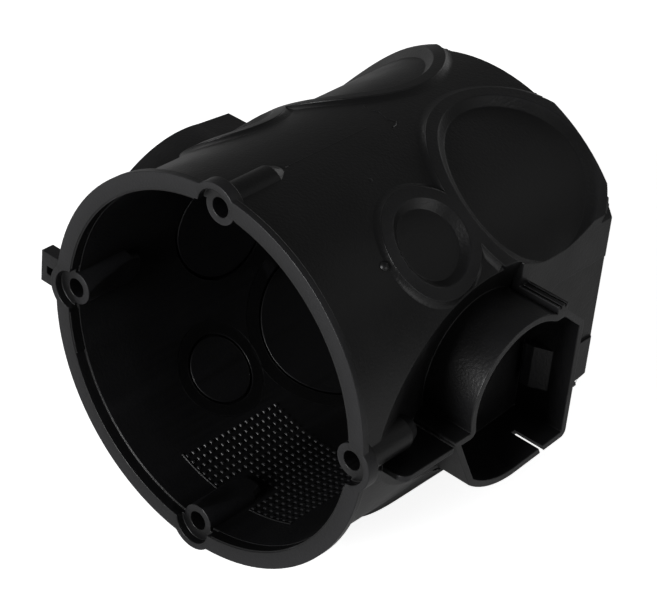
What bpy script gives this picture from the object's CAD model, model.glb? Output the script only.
import bpy
import math
from mathutils import Matrix, Vector


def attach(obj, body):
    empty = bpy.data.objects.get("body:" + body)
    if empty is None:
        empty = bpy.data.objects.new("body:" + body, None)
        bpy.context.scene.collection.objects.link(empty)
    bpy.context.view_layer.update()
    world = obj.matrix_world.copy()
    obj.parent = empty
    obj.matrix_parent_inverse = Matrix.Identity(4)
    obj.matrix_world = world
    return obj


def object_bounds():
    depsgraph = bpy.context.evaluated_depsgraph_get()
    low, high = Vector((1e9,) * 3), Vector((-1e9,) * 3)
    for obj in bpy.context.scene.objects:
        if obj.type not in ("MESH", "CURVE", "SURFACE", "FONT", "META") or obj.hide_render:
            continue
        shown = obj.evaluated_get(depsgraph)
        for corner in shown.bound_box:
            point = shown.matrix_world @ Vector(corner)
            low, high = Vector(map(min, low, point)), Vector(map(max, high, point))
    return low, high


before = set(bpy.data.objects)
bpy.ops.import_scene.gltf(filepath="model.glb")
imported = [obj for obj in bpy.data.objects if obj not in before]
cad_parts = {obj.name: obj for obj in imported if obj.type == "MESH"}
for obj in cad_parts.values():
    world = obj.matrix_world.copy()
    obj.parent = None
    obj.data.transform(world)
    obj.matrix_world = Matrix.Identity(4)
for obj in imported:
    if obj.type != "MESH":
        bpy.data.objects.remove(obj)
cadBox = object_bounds()
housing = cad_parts["housing"]
scene = bpy.context.scene
print("frame loaded")

mm = 0.001  # sizes below are millimetres times this


def newMaterial(name):
    material = bpy.data.materials.new(name)
    material.use_nodes = True
    nodes = material.node_tree.nodes
    nodes.clear()
    output = nodes.new("ShaderNodeOutputMaterial")
    return material, nodes, material.node_tree.links, output


def noise(nodes, links, place, scale, detail):
    texture = nodes.new("ShaderNodeTexNoise")
    texture.inputs["Scale"].default_value = scale
    texture.inputs["Detail"].default_value = detail
    links.new(place.outputs["Object"], texture.inputs["Vector"])
    return texture


def spread(nodes, links, source, fromRange, toRange):
    level = nodes.new("ShaderNodeMapRange")
    level.inputs["From Min"].default_value = fromRange[0]
    level.inputs["From Max"].default_value = fromRange[1]
    level.inputs["To Min"].default_value = toRange[0]
    level.inputs["To Max"].default_value = toRange[1]
    links.new(source, level.inputs["Value"])
    return level.outputs["Result"]


# Black satin plastic: spark-eroded grain, faint mottling, lighter rubbed edges
plastic = {
    "colour": (0.0026, 0.0026, 0.0028, 1.0),
    "edgeColour": (0.010, 0.010, 0.011, 1.0),
    "roughness": (0.33, 0.45),      # polished to dull
    "specular": 0.40,
    "grainScale": 2000.0,           # grains per metre
    "grainDepth": 0.048 * mm,
    "grainDetail": 3.0,
    "mottleScale": 90.0,
    "mottleDetail": 4.0,
    "mottleRange": (0.3, 0.7),      # part of the mottling that changes the gloss
    "rubbedRange": (0.52, 0.60),    # sharpness of an edge, from not rubbed to fully rubbed
    "edgeRadius": 0.30 * mm,        # rounding that the mould leaves on every edge
    "edgeSamples": 8,
}


def plasticMaterial():
    material, nodes, links, output = newMaterial("satinPlastic")
    shader = nodes.new("ShaderNodeBsdfPrincipled")
    shader.inputs["Specular IOR Level"].default_value = plastic["specular"]
    links.new(shader.outputs["BSDF"], output.inputs["Surface"])
    place = nodes.new("ShaderNodeTexCoord")
    grain = noise(nodes, links, place, plastic["grainScale"], plastic["grainDetail"])
    mottle = noise(nodes, links, place, plastic["mottleScale"], plastic["mottleDetail"])

    # dull and shiny patches
    gloss = spread(nodes, links, mottle.outputs["Fac"], plastic["mottleRange"], plastic["roughness"])
    links.new(gloss, shader.inputs["Roughness"])

    # outer edges are rubbed lighter
    geometry = nodes.new("ShaderNodeNewGeometry")
    rubbed = spread(nodes, links, geometry.outputs["Pointiness"], plastic["rubbedRange"], (0.0, 1.0))
    colour = nodes.new("ShaderNodeMix")
    colour.data_type = "RGBA"
    colour.inputs["A"].default_value = plastic["colour"]
    colour.inputs["B"].default_value = plastic["edgeColour"]
    links.new(rubbed, colour.inputs["Factor"])
    links.new(colour.outputs["Result"], shader.inputs["Base Color"])

    rounding = nodes.new("ShaderNodeBevel")
    rounding.samples = plastic["edgeSamples"]
    rounding.inputs["Radius"].default_value = plastic["edgeRadius"]
    bump = nodes.new("ShaderNodeBump")
    bump.inputs["Strength"].default_value = 1.0
    bump.inputs["Distance"].default_value = plastic["grainDepth"]
    links.new(grain.outputs["Fac"], bump.inputs["Height"])
    links.new(rounding.outputs["Normal"], bump.inputs["Normal"])
    links.new(bump.outputs["Normal"], shader.inputs["Normal"])
    return material


housingPlastic = plasticMaterial()
for slot in housing.material_slots:
    slot.material = housingPlastic
print("plastic made")


# A point on a round wall: distance from the box axis, angle round it, distance from the mouth
def onWall(radius, angle, along):
    turn = math.radians(angle)
    return Vector((radius * math.cos(turn), along, radius * math.sin(turn)))


# Mesh of the faces given, with only the points that they use
def meshPiece(name, points, faces):
    used = sorted({corner for face in faces for corner in face})
    number = {corner: new for new, corner in enumerate(used)}
    mesh = bpy.data.meshes.new(name)
    kept = [points[corner] for corner in used]
    mesh.from_pydata(kept, [], [[number[corner] for corner in face] for face in faces])
    mesh.update()
    piece = bpy.data.objects.new(name, mesh)
    scene.collection.objects.link(piece)
    piece.data.materials.append(housingPlastic)
    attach(piece, "root")
    return piece


# Round cable knockouts, as angle round the box axis, distance from the mouth, pad and disc radius
knockouts = [
    (turn + sign * angle, along * mm, pad * mm, disc * mm)
    for turn in (0, 180) for sign in (1, -1)
    for angle, along, pad, disc in ((53.2, 50.7, 17.2, 13.25), (48.6, 26.2, 9.4, 5.9))
]

# Faces of the box that the soft edges and rings stop at
box = {
    "inside": 30.2 * mm,         # box axis to the inner wall
    "outside": 31.8 * mm,
    "padFace": 32.5 * mm,
    "flatSide": 27.7 * mm,       # box axis to the flat sides at the back
    "flatStart": (41.95 * mm, 49.8 * mm),  # from the mouth, on the socket side and opposite
    "back": 66.0 * mm,
    "wall": 1.6 * mm,
    "couplingAlong": 35.6 * mm,
    "recess": (25.6 * mm, 13.0 * mm, 2.8),  # floor, radius and spread of the socket's recess
}


# A point at a radius and turn round a knockout's own centre, on a drum round the box axis
def padPoint(knockout, radius, drum, turn):
    angle, along = math.radians(knockout[0]), knockout[1]
    side = radius * math.sin(turn)
    out = math.sqrt(drum * drum - side * side)
    return Vector((
        out * math.cos(angle) - side * math.sin(angle),
        along + radius * math.cos(turn),
        out * math.sin(angle) + side * math.cos(angle),
    ))


# Distance of a point from a knockout's centre line
def fromKnockout(point, knockout):
    angle = math.radians(knockout[0])
    side = point.z * math.cos(angle) - point.x * math.sin(angle)
    ahead = point.x * math.cos(angle) + point.z * math.sin(angle)
    return math.hypot(side, point.y - knockout[1]) if ahead > 0 else 1.0


# True where the box has its plain round wall, inset by some depth, and nothing else
def onRoundWall(point, inset, margin):
    flatStart = box["flatStart"][0] if point.x > 0 else box["flatStart"][1]
    if abs(point.x) > box["flatSide"] - inset - margin and point.y > flatStart - inset - margin:
        return False
    floor, radius, growth = box["recess"]
    fromCoupling = math.hypot(point.y - box["couplingAlong"], point.z)
    recessed = floor - inset + max(0.0, fromCoupling - radius) / growth
    if point.x > recessed - margin and point.y < flatStart:
        return False
    return point.y < box["back"] - inset - margin


stripSteps = 120  # faces in a full turn of a strip


# Round strip about a knockout, through rows of radius and drum
def strip(knockout, rows, keep, points, faces):
    steps = stripSteps
    first = len(points)
    for radius, drum in rows:
        for step in range(steps):
            points.append(padPoint(knockout, radius, drum, 2 * math.pi * step / steps))
    for row in range(len(rows) - 1):
        for step in range(steps):
            after = (step + 1) % steps
            face = [first + row * steps + step, first + row * steps + after,
                    first + (row + 1) * steps + after, first + (row + 1) * steps + step]
            if all(keep(points[corner]) for corner in face):
                faces.append(face)


# Soft foot round every pad
softFoot = {
    "reach": 1.15 * mm,
    "rise": 0.62 * mm,
    "curve": 2.0,                # how hollow the foot is
    "rows": 6,
    "underPad": 0.05 * mm,
    "sunk": 0.02 * mm,           # outer edge, below the wall
    "margin": 0.1 * mm,          # kept free at the end of the round wall
    "overlap": 0.6 * mm,         # with a pad next to it
}


def addSoftFeet():
    points, faces = [], []
    for knockout in knockouts:
        others = [other for other in knockouts if other is not knockout]

        def keep(point):
            return onRoundWall(point, 0.0, softFoot["margin"]) and all(
                fromKnockout(point, other) > other[2] - softFoot["overlap"] for other in others)

        rows = []
        for row in range(softFoot["rows"] + 1):
            share = row / softFoot["rows"]
            rows.append((
                knockout[2] - softFoot["underPad"] + softFoot["reach"] * share,
                box["outside"] - softFoot["sunk"] + softFoot["rise"] * (1 - share) ** softFoot["curve"],
            ))
        strip(knockout, rows, keep, points, faces)
    piece = meshPiece("padFeet", points, faces)
    piece.data.shade_smooth()
    return piece


# Wall ring behind every pad, inside the box, that leaves a fine gap round the disc
innerRing = {
    "gap": 0.5 * mm,
    "rim": 0.78 * mm,            # pad edge to the ring's outer edge
    "sink": 0.03 * mm,
    "depth": 0.5 * mm,
    "edge": 0.25 * mm,
    "margin": 0.25 * mm,         # kept free at the end of the round wall
    "fromBack": 2 * mm,
}


def addInnerRings():
    points, faces = [], []
    for knockout in knockouts:
        others = [other for other in knockouts if other is not knockout]

        def keep(point):
            if point.y >= box["back"] - innerRing["fromBack"]:
                return False
            return onRoundWall(point, box["wall"], innerRing["margin"]) and all(
                fromKnockout(point, other) > other[3] + innerRing["gap"] for other in others)

        near, far = knockout[3] + innerRing["gap"], knockout[2] - innerRing["rim"]
        low, high = box["inside"] + innerRing["sink"], box["inside"] + innerRing["depth"]
        soft = innerRing["edge"]
        rows = [(near, high), (near, low), (near + soft, low), (far - soft, low), (far, low), (far, high)]
        strip(knockout, rows, keep, points, faces)
    return meshPiece("innerRings", points, faces)


addSoftFeet()
addInnerRings()
print("pads softened")


ridgeProfile = ((-0.5, -0.3), (-0.35, 0.6), (0.0, 1.0), (0.35, 0.6), (0.5, -0.3))  # of width, of rise


# Bar along a line of wall points, with a round top
def ridge(route, width, rise, points, faces):
    first = len(points)
    profile = ridgeProfile
    for number, (radius, angle, along) in enumerate(route):
        here = onWall(radius, angle, along)
        before = onWall(*route[max(number - 1, 0)])
        after = onWall(*route[min(number + 1, len(route) - 1)])
        up = Vector((here.x, 0, here.z)).normalized() * (1 if rise > 0 else -1)
        across = (after - before).normalized().cross(up)
        for side, height in profile:
            points.append(here + across * side * width + up * height * abs(rise))
    size = len(profile)
    for row in range(len(route) - 1):
        for step in range(size - 1):
            start = first + row * size + step
            faces.append([start, start + 1, start + size + 1, start + size])
    faces.append([first + corner for corner in range(size)])
    faces.append([len(points) - size + corner for corner in reversed(range(size))])


# Parting line along the top, a small curved mark behind it and a nub on the front of one pad
marks = {
    "partingLine": {"angle": 89.4, "start": 14.9, "end": 33.5, "width": 0.22, "rise": 0.05, "steps": 20},
    "curve": (                           # angle, distance from the mouth
        (98.9, 38.9), (96.2, 38.2), (93.3, 38.7), (89.0, 38.0), (86.4, 38.6), (85.4, 38.0), (85.0, 37.0),
    ),
    "curveWidth": 0.32,
    "curveRise": 0.10,
    "dot": (72.5, 24.2, 0.45, 0.10),     # angle, distance from the mouth, radius, rise
    "nub": (49.0, 15.6, 0.85, 0.62),
    "bumpSteps": 20,
    "bumpRings": 5,
    "bumpSink": 0.05 * mm,
    "bumpClose": 0.96,                   # part of a quarter turn at which the flat top starts
}


# Low round bump on the wall
def bump(angle, along, radius, rise, points, faces):
    first = len(points)
    steps, rings = marks["bumpSteps"], marks["bumpRings"]
    for ring in range(rings):
        share = ring / (rings - 1)
        reach = radius * math.cos(share * math.pi / 2 * marks["bumpClose"])
        height = box["outside"] - marks["bumpSink"] + rise * math.sin(share * math.pi / 2)
        for step in range(steps):
            turn = 2 * math.pi * step / steps
            aside = math.degrees(reach * math.sin(turn) / box["outside"])
            points.append(onWall(height, angle + aside, along + reach * math.cos(turn)))
    for ring in range(rings - 1):
        for step in range(steps):
            after = (step + 1) % steps
            start = first + ring * steps
            faces.append([start + step, start + after, start + steps + after, start + steps + step])
    faces.append([first + (rings - 1) * steps + step for step in range(steps)])


def addMarks():
    points, faces = [], []
    line = marks["partingLine"]
    length, steps = line["end"] - line["start"], line["steps"]
    route = [
        (box["outside"], line["angle"], (line["start"] + length * step / steps) * mm)
        for step in range(steps + 1)
    ]
    ridge(route, line["width"] * mm, line["rise"] * mm, points, faces)
    route = [(box["outside"], angle, along * mm) for angle, along in marks["curve"]]
    ridge(route, marks["curveWidth"] * mm, marks["curveRise"] * mm, points, faces)
    for angle, along, radius, rise in (marks["dot"], marks["nub"]):
        bump(angle, along * mm, radius * mm, rise * mm, points, faces)
    piece = meshPiece("mouldMarks", points, faces)
    piece.data.shade_smooth()
    return piece


addMarks()
print("mould marks made")


# Plain rim just inside the mouth, between the bosses
mouthRim = {
    "sink": 0.04 * mm,
    "depth": 0.35 * mm,
    "front": 0.10 * mm,
    "back": 2.05 * mm,
    "arcs": ((-82, -8), (8, 82), (98, 172), (188, 202)),  # degrees round the box axis
    "steps": 40,                 # in each arc
}


def addMouthRim():
    points, faces = [], []
    rows = (
        (box["inside"] + mouthRim["depth"], mouthRim["front"]),
        (box["inside"] + mouthRim["sink"], mouthRim["front"]),
        (box["inside"] + mouthRim["sink"], mouthRim["back"]),
    )
    steps = mouthRim["steps"]
    for start, stop in mouthRim["arcs"]:
        first = len(points)
        for step in range(steps + 1):
            for radius, along in rows:
                points.append(onWall(radius, start + (stop - start) * step / steps, along))
        for step in range(steps):
            for row in range(len(rows) - 1):
                corner = first + step * len(rows) + row
                faces.append([corner, corner + 1, corner + len(rows) + 1, corner + len(rows)])
    return meshPiece("mouthRim", points, faces)


addMouthRim()
print("mouth rim made")


# Block of rough cells moulded on the lower inside wall
cells = {
    "rise": 0.20 * mm,
    "foot": 0.08 * mm,           # sunk into the wall
    "pitch": 1.42 * mm,
    "gap": 0.42,                 # of the pitch, between two cells
    "draft": 0.45,               # of a cell's width, lost on the way up
    "start": 9.6 * mm,           # from the mouth
    "rows": 16,
    "leftAngle": -113.5,
    "columns": 18,
    "screwRidge": (-97.0, -83.0, 16.0 * mm),  # angles and length kept free for the lower boss
    "borderWidth": 0.35 * mm,
    "borderSteps": 12,
}


def addCells():
    step = math.degrees(cells["pitch"] / box["inside"])
    low, high, end = cells["screwRidge"]
    half = 0.5 * (1 - cells["gap"])
    points, faces = [], []
    for row in range(cells["rows"]):
        for column in range(cells["columns"]):
            along = cells["start"] + (row + 0.5) * cells["pitch"]
            angle = cells["leftAngle"] + (column + 0.5) * step
            if low < angle < high and along < end:
                continue
            first = len(points)
            sizes = (
                (box["inside"] + cells["foot"], 1.0),
                (box["inside"] - cells["rise"], 1 - cells["draft"]),
            )
            for radius, part in sizes:
                for side, back in ((-1, -1), (1, -1), (1, 1), (-1, 1)):
                    points.append(onWall(
                        radius, angle + side * half * part * step, along + back * half * part * cells["pitch"]
                    ))
            faces.append([first + corner for corner in (4, 5, 6, 7)])
            for corner in range(4):
                after = (corner + 1) % 4
                faces.append([first + corner, first + after, first + 4 + after, first + 4 + corner])
    right = cells["leftAngle"] + cells["columns"] * step
    count = cells["borderSteps"]
    for start, stop in ((cells["leftAngle"], low), (high, right)):
        route = [
            (box["inside"], start + (stop - start) * number / count, cells["start"])
            for number in range(count + 1)
        ]
        ridge(route, cells["borderWidth"], -cells["rise"], points, faces)
    return meshPiece("roughCells", points, faces)


addCells()
print("rough cells made")


# Floor: white, shows paper white to the camera but keeps the shadow
floorLook = {
    "size": 3.0,
    "colour": (0.86, 0.86, 0.86, 1.0),
    "glow": 0.85,
}


def floorMaterial():
    material, nodes, links, output = newMaterial("paperWhite")
    paper = nodes.new("ShaderNodeBsdfDiffuse")
    paper.inputs["Color"].default_value = floorLook["colour"]
    glow = nodes.new("ShaderNodeEmission")
    path = nodes.new("ShaderNodeLightPath")
    strength = nodes.new("ShaderNodeMath")
    strength.operation = "MULTIPLY"
    strength.inputs[1].default_value = floorLook["glow"]
    links.new(path.outputs["Is Camera Ray"], strength.inputs[0])
    links.new(strength.outputs["Value"], glow.inputs["Strength"])
    both = nodes.new("ShaderNodeAddShader")
    links.new(paper.outputs["BSDF"], both.inputs[0])
    links.new(glow.outputs["Emission"], both.inputs[1])
    links.new(both.outputs["Shader"], output.inputs["Surface"])
    return material


def addFloor():
    bpy.ops.mesh.primitive_plane_add(size=floorLook["size"], location=(0, 0, cadBox[0].z))
    floor = bpy.context.object
    floor.name = "floor"
    floor.data.materials.append(floorMaterial())


addFloor()
print("floor laid")

# Studio: white room light and soft boxes, place and size in metres, power in watts
room = {"colour": (1.0, 1.0, 1.0, 1.0), "light": 0.115}
softBoxes = {
    "right": {"place": (0.75, 0.05, 0.16), "size": (0.45, 0.45), "power": 0.95},
    "front": {"place": (0.02, -0.72, 0.22), "size": (0.24, 0.24), "power": 5.6},
    "backRight": {"place": (0.42, 0.52, 0.50), "size": (0.40, 0.40), "power": 0.10},
    "left": {"place": (-0.78, 0.14, 0.30), "size": (0.45, 0.45), "power": 0.5},
    "behind": {"place": (-0.12, 0.84, 0.10), "size": (0.45, 0.45), "power": 0.6},
}


aimPoint = Vector((0, 0.033, 0))  # middle of the box, that every soft box faces


def addRoomLight():
    world = bpy.data.worlds.new("studio")
    scene.world = world
    world.use_nodes = True
    background = world.node_tree.nodes["Background"]
    background.inputs["Color"].default_value = room["colour"]
    links = world.node_tree.links
    path = world.node_tree.nodes.new("ShaderNodeLightPath")
    level = spread(world.node_tree.nodes, links, path.outputs["Is Camera Ray"], (0, 1), (room["light"], 1.0))
    links.new(level, background.inputs["Strength"])


def addSoftBox(name, lightBox):
    data = bpy.data.lights.new(name, "AREA")
    data.shape = "RECTANGLE"
    data.size, data.size_y = lightBox["size"]
    data.energy = lightBox["power"]
    lamp = bpy.data.objects.new(name, data)
    scene.collection.objects.link(lamp)
    lamp.location = lightBox["place"]
    aim = aimPoint - lamp.location
    lamp.rotation_euler = aim.to_track_quat("-Z", "Y").to_euler()


addRoomLight()
for name, lightBox in softBoxes.items():
    addSoftBox(name, lightBox)
print("studio lit")

# Camera: long lens from the front right, above
view = {
    "place": (212.7 * mm, -232.6 * mm, 229.0 * mm),
    "azimuth": 39.11,
    "elevation": 34.07,
    "roll": 5.88,
    "lens": 137.5,
    "clip": (0.01, 20),          # nearest and farthest distance seen, in metres
}


def addCamera():
    data = bpy.data.cameras.new("camera")
    data.lens = view["lens"]
    data.clip_start, data.clip_end = view["clip"]
    camera = bpy.data.objects.new("camera", data)
    scene.collection.objects.link(camera)
    turn = Matrix.Rotation(math.radians(view["azimuth"]), 4, "Z")
    tilt = Matrix.Rotation(math.radians(90 - view["elevation"]), 4, "X")
    roll = Matrix.Rotation(math.radians(view["roll"]), 4, "Z")
    camera.matrix_world = Matrix.Translation(view["place"]) @ turn @ tilt @ roll
    scene.camera = camera


addCamera()
scene.view_settings.view_transform = "Standard"
print("camera set")
